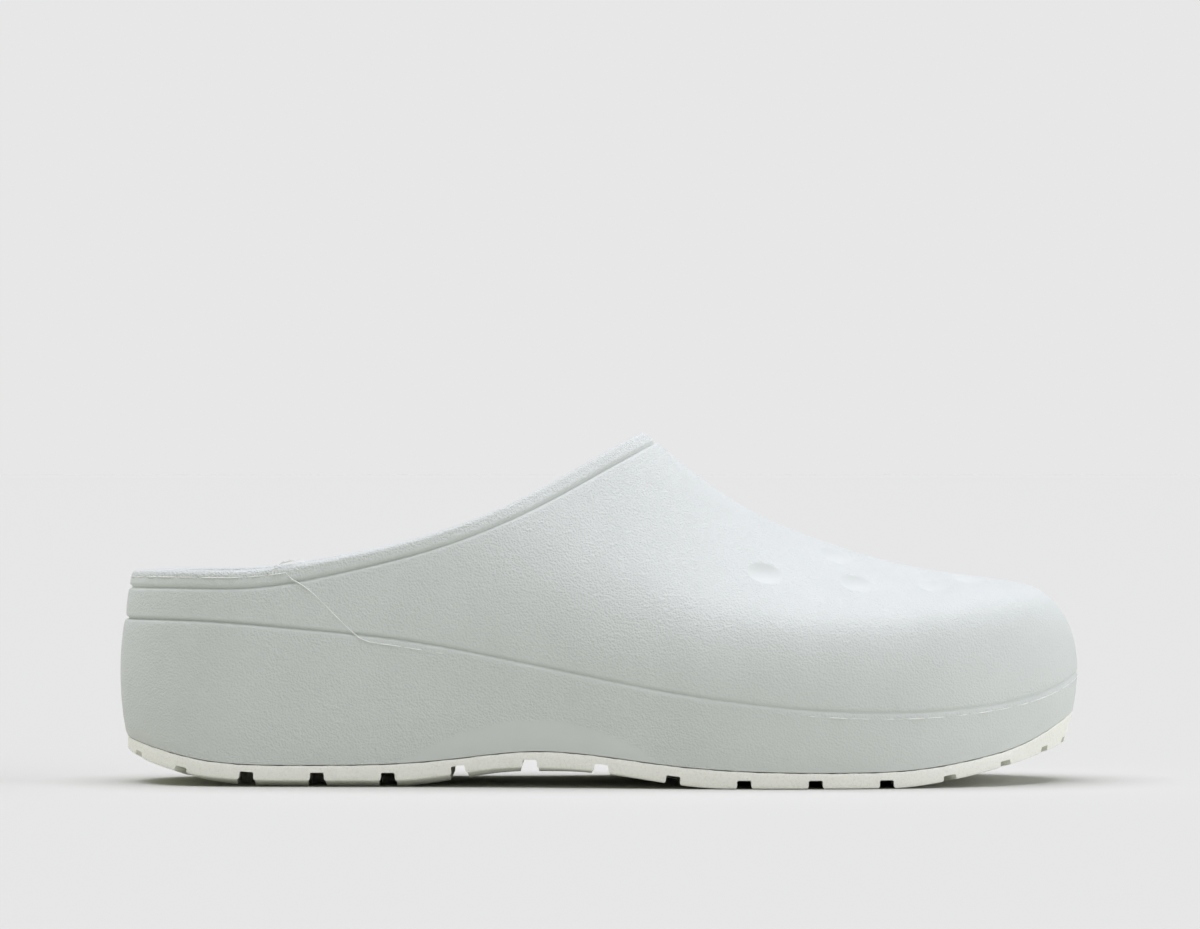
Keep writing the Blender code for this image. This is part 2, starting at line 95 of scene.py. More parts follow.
# Resolution
RIBS_PER_SIDE = 215
BODY_CAP_STRIPS, SOLE_CAP_STRIPS = 12, 24
OUTLINE_POINTS = 12000
OUTLINE_WRAP = 4
FAN_POINTS = 1500
UPPER_POINTS = 900
LOWER_POINTS = 300
HALVINGS = 50
STEP = 0.4
TINY = 0.001
SMOOTH_ANGLE, OUTSOLE_SMOOTH_ANGLE = 40.0, 28.0

# Outline in plan at the moulded groove, from the heel round the lateral side to the toe and back
OUTLINE = table(
    "x y",
    (1.7, 0.0), (6.6, -18.5), (20.0, -32.5), (46.0, -38.5), (95.0, -40.5), (140.0, -46.5),
    (180.0, -53.0), (212.0, -53.5), (243.0, -46.5), (268.0, -31.5), (284.5, -11.5), (290.0, 8.0),
    (285.5, 25.0), (272.0, 40.0), (250.0, 49.5), (220.0, 51.5), (188.0, 48.0), (150.0, 40.5),
    (112.0, 36.0), (78.0, 36.5), (46.0, 38.0), (20.0, 32.0), (6.6, 18.5),
)

# Heights along the side: top of the outsole, moulded groove
SIDE = table(
    "x glue groove",
    (0, 14.6, 49.7), (12, 11.2, 49.8), (26, 8.1, 49.5), (56, 6.6, 47.2), (86, 7.2, 44.0),
    (104, 8.9, 40.9), (124, 10.9, 36.9), (144, 9.8, 32.9), (164, 7.2, 29.2), (192, 5.2, 25.3),
    (216, 4.9, 23.4), (240, 5.8, 23.2), (258, 8.7, 24.6), (270, 11.8, 26.5), (280, 16.0, 29.3),
    (286, 19.1, 31.9), (290, 21.2, 34.3),
)

# Edge of the collar seen from the side
COLLAR = table(
    "x z",
    (0, 64.2), (24, 64.5), (41, 64.7), (57, 66.8), (81, 71.7), (105, 79.1), (128, 89.8), (146, 99.9),
    (158, 106.4), (170, 112.6),
)

# Crest of the upper over each section, how far its top falls towards the sides, and how sharp its shoulder
# is (2 is an ellipse). Behind the throat the crest is the height that the walls would close at if the
# collar were not open.
CREST = table(
    "x z drop shoulder",
    (0, 104.0, 0.28, 2.5), (11, 104.5, 0.28, 4.0), (24, 105.3, 0.29, 8.0), (50, 108.0, 0.32, 9.5),
    (90, 118.0, 0.47, 8.5), (120, 124.0, 0.65, 11.0), (140, 118.8, 0.74, 14.3), (158, 105.9, 0.74, 17.0),
    (176.5, 91.1, 0.69, 18.3), (194.6, 79.9, 0.6, 18.4), (212.8, 72.6, 0.52, 17.0), (231, 66.9, 0.42, 14.6),
    (249, 63.3, 0.3, 11.0), (268, 60.8, 0.18, 7.0), (290, 58.0, 0.12, 2.5),
)

# Top of the midsole inside the shoe, under the insole
FLOOR = table(
    "x z",
    (4, 24.2), (40, 22.6), (80, 21.8), (110, 20.3), (140, 17.6), (170, 14.6), (200, 12.6), (225, 12.4),
    (245, 13.8), (262, 16.9), (275, 20.8), (286, 25.0),
)

# Blind dimples of the vamp on each side: place along the shoe, and share of the way from crest to outline
DIMPLES = table(
    "x reach",
    (194.2, 0.581), (221.7, 0.51), (216.1, 0.233), (245.6, 0.444), (256.8, 0.211),
)

# How deep the moulded groove and the rim's groove are along the shoe, and how far the first is let down
GROOVES = table(
    "x main rim low",
    (0, 1.0, 1.0, 0.0), (45, 1.0, 1.0, 0.0), (55, 0.92, 1.0, 0.0), (80, 0.86, 1.0, 0.0),
    (100, 0.66, 0.8, 0.0), (105, 0.63, 0.75, 0.0), (115, 0.58, 0.83, 0.0), (125, 0.58, 0.9, 0.0),
    (150, 0.56, 1.05, 0.1), (160, 0.55, 0.8, 0.2), (175, 0.53, 0.8, 0.3), (185, 0.46, 0.8, 0.3),
    (205, 0.48, 0.8, 0.4), (235, 0.43, 0.8, 0.5), (262, 0.42, 0.8, 0.8), (290, 0.4, 0.8, 1.0),
)

# Moulded body: outer face, wall, pad over the arch and dimples
HEEL_POLE = 46.0
SPINE_BEND = 80.0
SPINE_POWER = 1.3
CREST_ROUND = 0.21
TOE_ROUND_START = 262.0
TOE_FRONT_POWER = 4.3
TOE_TOP_POWER = 1.9
FAN, FAN_POWER = 0.45, 3
RISE_POWER = 3
HEEL_BULGE, SIDE_BULGE, BULGE_BLEND = 1.9, 0.15, 28.0
BULGE_POWER = 0.6
SIDE_TUCK, TOE_TUCK, TOE_TUCK_START = 0.5, 1.5, 264.0
TUCK_POWER = 2
RIM_BAND = 5.4
RIM_WALL = 4.6
RIM_ROUND = 1.8
FLOOR_WALL = 6.5
PAD_X, PAD_HALF_LENGTH, PAD_HEIGHT, PAD_POWER = 124.5, 38.5, 9.7, 2.5
PAD_RISE, PAD_EDGE = 0.3, 0.8
DIMPLE_RADIUS = 5.3
DIMPLE_DEPTH = 1.5
DIMPLE_LIP = 0.12
DIMPLE_REACH = 8.0
DIMPLE_CUTS = 2

# Moulded body: rows of points from the outsole up, and how far a groove spreads below and above its middle
LOWER_ROWS = 34
UPPER_ROWS = 82
RIM_ROWS = 12
RIM_ROUND_STEPS = 7
RIM_TOP_ROWS = 4
INNER_ROWS = 16
GROOVE_STEPS = (-1.6, -1.15, -0.85, -0.6, -0.4, -0.2, 0.0, 0.2, 0.4, 0.6, 0.85, 1.15, 1.6)
GROOVE_SPREAD = {"main": (0.6, 0.38), "rim": (0.55, 0.55)}

# Strength of the grain where it isn't full: by and in the grooves, low at the toe, on the rim, inside. At the
# heel the rim's upper part is rougher than its lower part.
GROOVE_GRAIN, GROOVE_SMOOTH = 0.8, 0.7
TOE_SMOOTH, TOE_SMOOTH_SPAN, TOE_SMOOTH_RISE = 0.5, (150, 210), 0.3
HEEL_RIM_GRAIN, HEEL_RIM_LOW_GRAIN, HEEL_RIM_SPAN = 1.5, 0.3, (44, 56)
RIM_LOW_SHARE = 0.45
INNER_GRAIN = 0.5

# Mould flash: places along the shoe, distance up the wall from the groove, and share of its height that is
# kept. Where little is kept it breaks up into dashes, with the gaps just under the wall's face.
FLASH = table(
    "x up kept",
    (55.2, 15.1, 0.6), (58.5, 13.5, 0.7), (61.9, 10.5, 0.7), (64.6, 7.3, 0.7), (67.3, 4.1, 0.7),
    (69.8, 1.8, 0.7), (71.4, 0.4, 0.7), (73.2, -1.0, 0.7), (75.0, -1.7, 0.7), (76.7, -2.1, 0.7),
    (79.3, -2.2, 0.7), (90.0, -2.3, 0.7), (104.0, -2.3, -1.2), (198.0, -2.4, -1.2), (208.0, -2.4, 0.25),
    (250.0, -2.5, 0.3), (290.0, -2.6, 0.4),
)
FLASH_HALF = 0.22
FLASH_HEIGHT = 0.32
FLASH_SINK = 0.12
FLASH_LEAST, FLASH_MOST = -0.3, 1.3

# How the flash rises and falls along its way: height, and pace and phase from rib to rib
FLASH_WAVES = ((0.35, 0.43, 0.0), (0.45, 1.27, 1.0), (0.3, 2.9, 0.0))

# Thread of flash that arches over the rim: place along the shoe, distance below the collar's edge, and how
# far it stands off
RIM_FLASH = table(
    "x below lift",
    (47.9, 2.4, 0.0), (47.8, 1.2, 0.0), (48.1, 0.5, 0.4), (49.3, 0.2, 0.8), (51.2, 0.1, 1.0),
    (53.3, 0.05, 1.1), (56.3, 0.0, 0.8), (57.6, 0.0, 0.1),
)
RIM_FLASH_STEPS, RIM_FLASH_HEIGHT, RIM_FLASH_KEPT = 30, 0.4, 0.6

# Insole, and the gap between pieces that touch
FIT_GAP = 0.3
INSOLE_SIDE_GAP = 0.5
INSOLE_THICKNESS = 4.0
INSOLE_RIM, INSOLE_DISH_POWER = 2.0, 3
INSOLE_EDGE_ROUND = 1.2
INSOLE_ROUND_STEPS = 6

# Outsole underside: rises at the heel, the arch and the toe from two flats at floor level
HEEL_RISE, HEEL_RISE_END, HEEL_RISE_POWER = 11.3, 52.0, 2.45
ARCH_RISE, ARCH_START, ARCH_FULL, ARCH_FALL, ARCH_END = 4.7, 82.0, 124.0, 134.0, 182.0
TOE_RISE, TOE_RISE_START, TOE_RISE_END, TOE_RISE_POWER = 12.4, 232.0, 288.0, 1.5
HEEL_EDGE_LIFT, LIFT_FULL, TOE_EDGE_LIFT = 1.9, 46.0, 0.2

# Outsole edge: soft top, side, rounded foot and the bevel from there to the underside
OUTSOLE_TOP_INSETS, OUTSOLE_TOP_DROP = (0.5, 0.12), 0.35
OUTSOLE_SIDE_SHARES = (0.35, 0.7, 1.0)
OUTSOLE_EDGE_ROUND, OUTSOLE_ROUND_STEPS = 0.5, 4
OUTSOLE_LEAN, LEAN_START = 2.4, 262.0
CONTACT_INSET, CONTACT_STEPS = 7.0, 4

# Glue line over the outsole: how open it is at the ends and between them, and how it wavers from rib to rib
GLUE_END, GLUE_OPEN = 0.6, 0.85
GLUE_HEEL_SPAN, GLUE_TOE_SPAN = (0, 24), (280, 290)
GLUE_RAGGED, GLUE_WAVES = 0.22, ((0.9, 0.0), (2.3, 1.0))

# Outsole grooves: straight ones across the sole, and short ones in from the edge round heel and toe
GROOVE_FIRST_X, GROOVE_PITCH, GROOVE_COUNT = 39.8, 21.1, 10
NOTCH_X = (6.5, 19.9, 248.8, 266.0, 279.8, 287.2)
NOTCH_MOUTH, NOTCH_TOP, GROOVE_CUT, NOTCH_CUT = 5.3, 4.2, 2.4, 1.6
NOTCH_LENGTH, NOTCH_BELOW, NOTCH_BEYOND = 12.0, 5.0, 4.0
NOTCH_CORNER = ((0.5, 0.0), (0.15, 0.15), (0.0, 0.45))
NOTCH_LIP, NOTCH_LIP_STEPS, NOTCH_SPREAD = 1.1, 4, 0.4
THROUGH_RISE, WEB_HALF = 2.0, 8.0

# Colours, by the value of the noise that mixes them
FOAM_TONES = ((0.3, (0.580, 0.618, 0.564)), (0.7, (0.602, 0.640, 0.585)))
# The flash's tones are paler than the foam's: a painted highlight along the ridge
FLASH_HIGHLIGHT_TONES = ((0.3, (0.71, 0.73, 0.67)), (0.7, (0.79, 0.80, 0.74)))
RUBBER_TONES = ((0.34, (0.79, 0.79, 0.69)), (0.46, (0.84, 0.85, 0.75)), (0.7, (0.86, 0.876, 0.78)))
FOOTBED_TONES = ((0.35, (0.52, 0.55, 0.505)), (0.65, (0.60, 0.63, 0.58)))

# Pebbled grain of the foam. Scales are per metre and the height is in metres.
PEBBLE_SCALE, PEBBLE_SMOOTHNESS = 1600.0, 0.3
FINE_SCALE, FINE_SHARE = 1900.0, 0.8
GRAIN_HEIGHT, GRAIN_STRENGTH = 0.0003, 0.7

# Stage: the floor, in metres, the studio's brightness by height above the horizon, and the lights
FLOOR_SIZE = 60.0
FLOOR_COLOUR = (0.566, 0.579, 0.516, 1.0)
HORIZON = (0.799, 0.799, 0.799)
WALLS = (0.07, 0.07, 0.07)
STUDIO_TONES = ((0.0, HORIZON), (0.12, HORIZON), (0.34, WALLS), (1.0, WALLS))
SUNS = {
    "top_light": dict(strength=3.5, angle=70.0, tilt=(-2.6, -7.2), colour=(1.0, 0.973, 1.115)),
    "toe_light": dict(strength=1.52, angle=65.0, tilt=(0.0, 77.0), colour=(1.0, 0.99, 1.11)),
    "toe_front_light": dict(strength=0.56, angle=65.0, tilt=(34.0, 78.0), colour=(1.0, 0.99, 1.11)),
    "heel_light": dict(strength=0.38, angle=80.0, tilt=(6.0, -87.0), colour=(1.0, 0.965, 0.75)),
}

# Camera: level, in front of the lateral side. The end of its view is in metres.
CAMERA_AWAY = 2000.0
CAMERA_HEIGHT = 95.8
CAMERA_X = 145.0
CAMERA_END = 200.0
IMAGE_WIDTH = 1200
PIXELS_PER_MM = 3.3034
SENSOR_WIDTH = 36.0

Wall = namedtuple("Wall", "foot normal lines run groove collar")


def spline(x, y):
    """The natural cubic spline through a table's points, level with its end values beyond them."""
    gap = np.diff(x)
    slope = np.diff(y) / gap
    system = np.eye(len(x))
    bend = np.zeros(len(x))
    for i in range(1, len(x) - 1):
        system[i, i - 1:i + 2] = gap[i - 1], 2 * (gap[i - 1] + gap[i]), gap[i]
        bend[i] = 6 * (slope[i] - slope[i - 1])
    curve = np.linalg.solve(system, bend)

    def at(place):
        place = np.clip(place, x[0], x[-1])
        i = np.clip(np.searchsorted(x, place) - 1, 0, len(x) - 2)
        before = (x[i + 1] - place) / gap[i]
        after = (place - x[i]) / gap[i]
        cubic = (before ** 3 - before) * curve[i] + (after ** 3 - after) * curve[i + 1]
        return before * y[i] + after * y[i + 1] + cubic * gap[i] ** 2 / 6

    return at


def distances(points):
    return np.r_[0, np.cumsum(np.linalg.norm(np.diff(points, axis=0), axis=1))]


def closed_curve(x, y):
    """A smooth closed curve through the points of a table, finely sampled."""
    points = np.column_stack([np.r_[c[-OUTLINE_WRAP:], c, c[:OUTLINE_WRAP + 1]] for c in (x, y)])
    run = distances(points)
    at = np.linspace(run[OUTLINE_WRAP], run[OUTLINE_WRAP + len(x)], OUTLINE_POINTS, endpoint=False)
    return np.column_stack([spline(run, c)(at) for c in points.T])


def halves(curve):
    """The lateral and the medial half of a closed curve, each from its rearmost to its foremost point."""
    curve = np.roll(curve, -curve[:, 0].argmin(), axis=0)
    toe = curve[:, 0].argmax()
    return curve[:toe + 1], np.vstack([curve[toe:], curve[:1]])[::-1]


def along(curve, shares):
    """The points at these shares of a curve's length."""
    run = distances(curve)
    return np.column_stack([np.interp(shares * run[-1], run, c) for c in curve.T])


def ease(start, end, x):
    t = np.clip((x - start) / (end - start), 0, 1)
    return t * t * (3 - 2 * t)


LATERAL, MEDIAL = halves(closed_curve(OUTLINE["x"], OUTLINE["y"]))
TOE_X, TOE_Y = LATERAL[-1]
HEEL_ARC = np.vstack([half[half[:, 0] < HEEL_POLE] for half in (LATERAL[::-1], MEDIAL[1:])])
glue_z = spline(SIDE["x"], SIDE["glue"])
groove_z = spline(SIDE["x"], SIDE["groove"])
collar_z = spline(COLLAR["x"], COLLAR["z"])
crest_z = spline(CREST["x"], CREST["z"])
top_drop = spline(CREST["x"], CREST["drop"])
shoulder = spline(CREST["x"], CREST["shoulder"])
floor_z = spline(FLOOR["x"], FLOOR["z"])


def spine_y(x):
    """Where the crest runs in plan: straight from the heel, then over to the tip of the toe."""
    return TOE_Y * np.clip((x - SPINE_BEND) / (TOE_X - SPINE_BEND), 0, 1) ** SPINE_POWER


HALF_WIDTHS = [np.abs(half[:, 1] - spine_y(half[:, 0])) for half in (LATERAL, MEDIAL)]


def reach(x, y):
    """How far out a plan point lies: 0 on the crest, 1 on the outline. Behind the pole it fans out."""
    across = y - spine_y(x)
    widths = [np.interp(x, half[:, 0], w) for half, w in zip((LATERAL, MEDIAL), HALF_WIDTHS)]
    ahead = np.abs(across) / np.maximum(np.where(across < 0, *widths), TINY)
    angles = np.arctan2(HEEL_ARC[:, 1], HEEL_POLE - HEEL_ARC[:, 0])
    radii = np.hypot(HEEL_ARC[:, 1], HEEL_POLE - HEEL_ARC[:, 0])
    behind = np.hypot(y, HEEL_POLE - x) / np.interp(np.arctan2(y, HEEL_POLE - x), angles, radii)
    return np.clip(np.where(x < HEEL_POLE, behind, ahead), 0, 1)


def crown_z(x):
    """Height of the upper over the crest line, rounded down to the groove at the toe."""
    toe = np.clip((x - TOE_ROUND_START) / (TOE_X - TOE_ROUND_START), 0, 1)
    return groove_z(x) + (crest_z(x) - groove_z(x)) * (1 - toe ** TOE_FRONT_POWER) ** (1 / TOE_TOP_POWER)


def dome_z(x, y):
    """Height of the upper's outer face over a plan point."""
    out = reach(x, y)
    fall = (np.hypot(out, CREST_ROUND) - CREST_ROUND) / (math.hypot(1, CREST_ROUND) - CREST_ROUND)
    share = (1 - top_drop(x) * fall) * np.sqrt(1 - out ** shoulder(x))
    return groove_z(x) + (crown_z(x) - groove_z(x)) * share


def split(is_low, low, high):
    """Where a test turns from true to false between two ends, by halving."""
    for _ in range(HALVINGS):
        middle = (low + high) / 2
        below = is_low(middle)
        low = np.where(below, middle, low)
        high = np.where(below, high, middle)
    return (low + high) / 2


THROAT_X = float(split(lambda x: collar_z(x) < crown_z(x), COLLAR["x"][-3], COLLAR["x"][-1]))


def collar_edge(half):
    """The collar's edge on one side in plan, from the heel to the throat."""
    outer = half[half[:, 0] < THROAT_X]
    centre_x = np.maximum(outer[:, 0], HEEL_POLE)
    centre = np.column_stack([centre_x, spine_y(centre_x)])

    def place(share):
        return centre + (outer - centre) * share[:, None]

    def is_open(share):
        point = place(share).T
        return dome_z(*point) > collar_z(point[0])

    edge = place(split(is_open, np.zeros(len(outer)), np.ones(len(outer))))
    return np.vstack([edge, [THROAT_X, spine_y(THROAT_X)]])


def both_sides(lateral, medial):
    """One ring from two halves: heel, lateral side, toe, medial side."""
    return np.vstack([lateral, medial[-2:0:-1]])


def outward(ring):
    """The plan normals of a ring."""
    way = np.roll(ring, -1, axis=0) - np.roll(ring, 1, axis=0)
    return np.column_stack([way[:, 1], -way[:, 0]]) / np.linalg.norm(way, axis=1)[:, None]


def make_wall(ribs_per_side):
    """The outer face as ribs, each a fine line from the outsole up over the groove to the collar's edge."""
    shares = np.linspace(0, 1, ribs_per_side + 1)
    even = np.linspace(0, 1, FAN_POINTS)
    edge_shares = np.interp(shares, (1 - FAN) * even + FAN * even ** FAN_POWER, even)
    foot = both_sides(along(LATERAL, shares), along(MEDIAL, shares))
    edge = both_sides(*(along(collar_edge(half), edge_shares) for half in (LATERAL, MEDIAL)))
    normal = outward(foot)
    x = foot[:, 0]

    rise = np.linspace(0, 1, UPPER_POINTS)[:, None, None] ** RISE_POWER
    plan = foot + (edge - foot) * rise
    height = dome_z(plan[..., 0], plan[..., 1])
    height[0] = groove_z(x)
    upper = np.dstack([plan, height])

    down = np.linspace(1, 0, LOWER_POINTS)[:, None]
    fullness = SIDE_BULGE * (1 - x / TOE_X) + (HEEL_BULGE - SIDE_BULGE) * (1 - ease(0, BULGE_BLEND, x))
    bulge = fullness * np.sin(math.pi * down).clip(0) ** BULGE_POWER
    tuck = (SIDE_TUCK + (TOE_TUCK - SIDE_TUCK) * ease(TOE_TUCK_START, TOE_X, x)) * down ** TUCK_POWER
    plan = foot + normal * (bulge - tuck)[..., None]
    lower = np.dstack([plan, glue_z(x) * down + groove_z(x) * (1 - down)])

    lines = np.concatenate([lower, upper[1:]]).transpose(1, 0, 2)
    run = np.array([distances(line) for line in lines])
    return Wall(foot, normal, lines, run, run[:, len(lower) - 1], run[:, -1])


def on_wall(wall, runs, insets=0.0):
    """Rows of points at these distances up the ribs, set in from the outer face, and their normals."""
    def at(places):
        ribs = zip(places.T, wall.run, wall.lines)
        columns = [[np.interp(place, run, c) for c in line.T] for place, run, line in ribs]
        return np.array(columns).transpose(2, 0, 1)

    base = at(runs)
    upward = at(runs + STEP) - at(runs - STEP)
    normal = np.cross(np.roll(base, -1, axis=1) - np.roll(base, 1, axis=1), upward)
    normal /= np.linalg.norm(normal, axis=2)[..., None]
    return base - normal * np.broadcast_to(insets, runs.shape)[..., None], normal


def pad(wall, height):
    """How proud the smooth pad over the arch stands, and whether a point lies on it."""
    x = wall.foot[:, 0]
    length = 1 - np.clip(np.abs(x - PAD_X) / PAD_HALF_LENGTH, 0, 1) ** PAD_POWER
    inside = np.clip(1 - height / np.maximum(PAD_HEIGHT * length, TINY), 0, 1)
    return PAD_RISE * length * ease(0, PAD_EDGE, inside), (inside > 0) & (length > 0)


def floor_run(wall, above):
    """Distance up each rib to a height above the floor inside the shoe."""
    level = floor_z(wall.foot[:, 0] - FLOOR_WALL * wall.normal[:, 0]) + above
    rows = zip(level, wall.lines, wall.run)
    return np.array([np.interp(z, line[:, 2], run) for z, line, run in rows])


def floor_ring(wall, above, inset):
    """A ring along the inside of the wall, level with a height above the floor."""
    ring = on_wall(wall, floor_run(wall, above)[None], inset)[0][0]
    ring[:, 2] = floor_z(ring[:, 0]) + above
    return ring


def body_rows(wall):
    """Rows from the outsole up the outside, over the rim and down the inside, with the grain on each."""
    x, edge_x = wall.foot[:, 0], wall.lines[:, -1, 0]
    groove = wall.groove - np.interp(x, GROOVES["x"], GROOVES["low"])
    collar = wall.collar
    runs, insets, grain = [], [], []

    def add(run, inset=0.0, strength=1.0):
        runs.append(run)
        insets.append(np.broadcast_to(inset, run.shape))
        grain.append(np.broadcast_to(strength, run.shape))

    def add_groove(middle, along_x, kind):
        depth = np.interp(along_x, GROOVES["x"], GROOVES[kind])
        for step in GROOVE_STEPS:
            share = math.exp(-(step / GROOVE_SPREAD[kind][step > 0]) ** 2)
            add(middle + step, depth * share, GROOVE_GRAIN - GROOVE_SMOOTH * share)

    end = GROOVE_STEPS[-1]
    toe = TOE_SMOOTH * ease(*TOE_SMOOTH_SPAN, x)
    for share in np.linspace(0, 1, LOWER_ROWS, endpoint=False):
        rise, smooth = pad(wall, share * (groove_z(x) - glue_z(x)))
        add((groove - end) * share, -rise, np.where(smooth, 0.0, 1 - toe))
    add_groove(groove, x, "main")
    band = collar - RIM_BAND
    low = groove + end
    for share in np.linspace(0, 1, UPPER_ROWS + 2)[1:-1]:
        add(low + (band - end - low) * share, 0.0, 1 - toe * (1 - ease(0, TOE_SMOOTH_RISE, share)))
    add_groove(band, edge_x, "rim")
    front = ease(*HEEL_RIM_SPAN, edge_x)
    rim_grain = HEEL_RIM_GRAIN + (1 - HEEL_RIM_GRAIN) * front
    low_grain = HEEL_RIM_LOW_GRAIN + (1 - HEEL_RIM_LOW_GRAIN) * front
    for share in np.linspace(0, 1, RIM_ROWS + 1)[1:-1]:
        strength = rim_grain if share > RIM_LOW_SHARE else low_grain
        add(band + end + (RIM_BAND - end - RIM_ROUND) * share, 0.0, strength)
    angles = np.linspace(0, math.pi / 2, RIM_ROUND_STEPS)
    corner = [RIM_ROUND * (1 - np.array([math.sin(angle), math.cos(angle)])) for angle in angles]
    for below, inset in corner:
        add(collar - below, inset, rim_grain)
    for share in np.linspace(0, 1, RIM_TOP_ROWS + 2)[1:-1]:
        add(collar, RIM_ROUND + (RIM_WALL - 2 * RIM_ROUND) * share, rim_grain)
    for below, inset in corner[::-1]:
        add(collar - below, RIM_WALL - inset)
    top = collar - RIM_ROUND
    low = floor_run(wall, INSOLE_THICKNESS + INSOLE_RIM + FIT_GAP)
    for share in np.linspace(0, 1, INNER_ROWS + 1)[1:]:
        add(top + (low - top) * share, RIM_WALL + (FLOOR_WALL - RIM_WALL) * share, INNER_GRAIN)
    points = on_wall(wall, np.array(runs), np.array(insets))[0]
    points = np.concatenate([points, floor_ring(wall, 0, FLOOR_WALL)[None]])
    return points, np.vstack([*grain, np.zeros(len(groove))])


def tread_z(x):
    """Height of the outsole's underside."""
    heel = HEEL_RISE * np.clip(1 - x / HEEL_RISE_END, 0, 1) ** HEEL_RISE_POWER
    arch = ARCH_RISE * (ease(ARCH_START, ARCH_FULL, x) - ease(ARCH_FALL, ARCH_END, x))
    toe = np.clip((x - TOE_RISE_START) / (TOE_RISE_END - TOE_RISE_START), 0, None) ** TOE_RISE_POWER
    return heel + arch + TOE_RISE * toe


def tread_edge_z(x):
    """Height of the underside at its bevelled edge."""
    heel = HEEL_EDGE_LIFT * (ease(0, LIFT_FULL, x) - ease(ARCH_START, ARCH_END, x))
    return tread_z(x) + heel + TOE_EDGE_LIFT * ease(ARCH_START, ARCH_END, x)


def outsole_rows(seat):
    """Rows from the top of the outsole down its rounded edge to the underside."""
    plan = seat[:, :2]
    normal = outward(plan)
    lean = OUTSOLE_LEAN * ease(LEAN_START, TOE_X, plan[:, 0])

    def ring(inset, height):
        flat = plan - normal * (lean + inset)[:, None]
        return np.column_stack([flat, height(flat[:, 0])])

    x = plan[:, 0]
    wave = np.arange(len(x))
    ragged = 1 + GLUE_RAGGED * sum(np.sin(wave * pace + phase) for pace, phase in GLUE_WAVES)
    between = ease(*GLUE_HEEL_SPAN, x) * (1 - ease(*GLUE_TOE_SPAN, x))
    open_share = GLUE_END + (GLUE_OPEN - GLUE_END) * between
    top = seat - np.array([0, 0, FIT_GAP]) * (open_share * ragged)[:, None]
    rows = [np.column_stack([top[:, :2] - normal * inset, top[:, 2]]) for inset in OUTSOLE_TOP_INSETS]
    high = top - [0, 0, OUTSOLE_TOP_DROP]
    low = ring(0, lambda x: tread_edge_z(x) + OUTSOLE_EDGE_ROUND)
    rows.append(high)
    for share in OUTSOLE_SIDE_SHARES:
        rows.append(high + (low - high) * share)
    for angle in np.linspace(0, math.pi / 2, OUTSOLE_ROUND_STEPS + 1)[1:]:
        inset = OUTSOLE_EDGE_ROUND * (1 - math.cos(angle))
        lift = OUTSOLE_EDGE_ROUND * (1 - math.sin(angle))
        rows.append(ring(inset, lambda x: tread_edge_z(x) + lift))
    for share in np.linspace(0, 1, CONTACT_STEPS + 1)[1:]:
        inset = OUTSOLE_EDGE_ROUND + (CONTACT_INSET - OUTSOLE_EDGE_ROUND) * share
        rows.append(ring(inset, lambda x: tread_edge_z(x) + (tread_z(x) - tread_edge_z(x)) * share))
    return np.array(rows)


def insole_rows(wall):
    """Rows from the insole's underside up its edge and over its rounded top edge."""
    set_in = FLOOR_WALL + INSOLE_SIDE_GAP
    edge = INSOLE_THICKNESS + INSOLE_RIM
    rows = [floor_ring(wall, FIT_GAP, set_in), floor_ring(wall, edge / 2, set_in)]
    for angle in np.linspace(0, math.pi / 2, INSOLE_ROUND_STEPS):
        above = edge - INSOLE_EDGE_ROUND * (1 - math.sin(angle))
        rows.append(floor_ring(wall, above, set_in + INSOLE_EDGE_ROUND * (1 - math.cos(angle))))
    return np.array(rows)


def insole_top_z(x, share):
    """Height of the dished footbed at a share of the way across it."""
    return floor_z(x) + INSOLE_THICKNESS + INSOLE_RIM * np.abs(2 * share - 1) ** INSOLE_DISH_POWER


def cap(ring, first, count, strips, height):
    """Points and faces that close a ring with rows from its lateral to its medial half."""
    half = len(ring) // 2
    shares = np.linspace(0, 1, strips + 1)
    points = []
    rows = []
    for k in range(1, half):
        row = ring[k] + (ring[-k] - ring[k]) * shares[1:-1, None]
        if height:
            row[:, 2] = height(row[:, 0], shares[1:-1])
        inner = range(count + len(points), count + len(points) + len(row))
        rows.append([first + k, *inner, first + len(ring) - k])
        points.extend(row)
    faces = [(first, a, b) for a, b in zip(rows[0], rows[0][1:])]
    for row, after in zip(rows, rows[1:]):
        faces.extend(zip(row, after, after[1:], row[1:]))
    faces.extend((first + half, b, a) for a, b in zip(rows[-1], rows[-1][1:]))
    return points, faces


def skin(rows, strips, first_height, last_height):
    """Points and faces of a closed body: rows joined in order, with a cap over the first and the last."""
    count, size = rows.shape[:2]
    points = list(rows.reshape(-1, 3))
    index = np.arange(count * size).reshape(count, size)
    after = np.roll(index, -1, axis=1)
    quads = np.stack([index[:-1], after[:-1], after[1:], index[1:]], axis=-1)
    faces = [tuple(quad) for quad in quads.reshape(-1, 4).tolist()]
    for row, height in ((0, first_height), (count - 1, last_height)):
        more_points, more_faces = cap(rows[row], row * size, len(points), strips, height)
        points.extend(more_points)
        faces.extend(more_faces)
    return np.array(points), faces


def to_bmesh(points, faces):
    work = bmesh.new()
    verts = [work.verts.new(point) for point in points]
    for face in faces:
        work.faces.new([verts[i] for i in face])
    bmesh.ops.recalc_face_normals(work, faces=work.faces)
    return work


def add_object(name, work, surface):
    """An object in the row frame from a bmesh in the shoe's own sizes."""
    mesh = bpy.data.meshes.new(name)
    bmesh.ops.transform(work, matrix=Matrix.Scale(MM, 4) @ Matrix.Translation(PLACE), verts=work.verts)
    work.to_mesh(mesh)
    work.free()
    mesh.shade_smooth()
    mesh.set_sharp_from_angle(angle=math.radians(SMOOTH_ANGLE))
    if surface:
        mesh.materials.append(surface)
    made = bpy.data.objects.new(name, mesh)
    bpy.context.scene.collection.objects.link(made)
    return made


